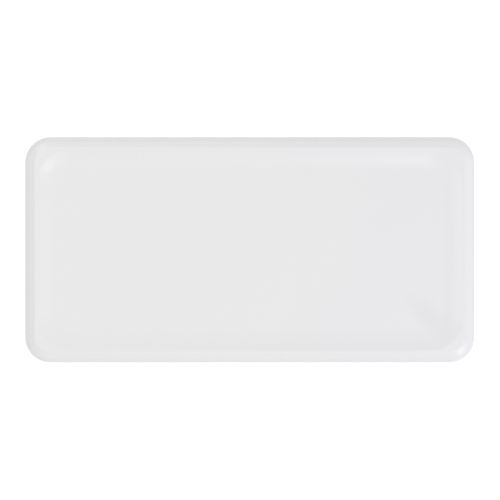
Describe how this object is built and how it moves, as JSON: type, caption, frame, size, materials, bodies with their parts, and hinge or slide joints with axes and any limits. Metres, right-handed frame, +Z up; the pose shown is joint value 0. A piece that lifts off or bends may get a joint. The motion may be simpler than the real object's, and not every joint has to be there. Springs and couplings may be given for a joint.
{
  "type": "wet palette",
  "caption": "Shallow rectangular wet palette: a tray with damp sponge and palette paper, closed by a lift-off lid with a silicone seal and a raised border on top.",
  "frame": {"origin": "centre of the closed palette's outline, on the plane that its four feet stand on", "axes": "+Z up, along the way the lid lifts off; X along the palette's length, Y across its width"},
  "size_m": [0.2, 0.1004, 0.022],
  "materials": {
    "tray_plastic": "satin",
    "lid_plastic": "gloss",
    "silicone": "satin",
    "sponge_foam": "matte",
    "palette_paper": "matte",
    "foot_rubber": "matte"
  },
  "bodies": {
    "base": {"tray": "tray_plastic", "sponge": "sponge_foam", "palette_paper": "palette_paper", "foot_front_left": "foot_rubber", "foot_front_right": "foot_rubber", "foot_rear_left": "foot_rubber", "foot_rear_right": "foot_rubber"},
    "lid": {"lid": "lid_plastic", "lid_seal": "silicone"}
  },
  "joints": [
    {"name": "lid_lift", "type": "slide", "parent": "base", "child": "lid", "axis": [0, 0, 1], "range_m": [0, 0.06]}
  ]
}
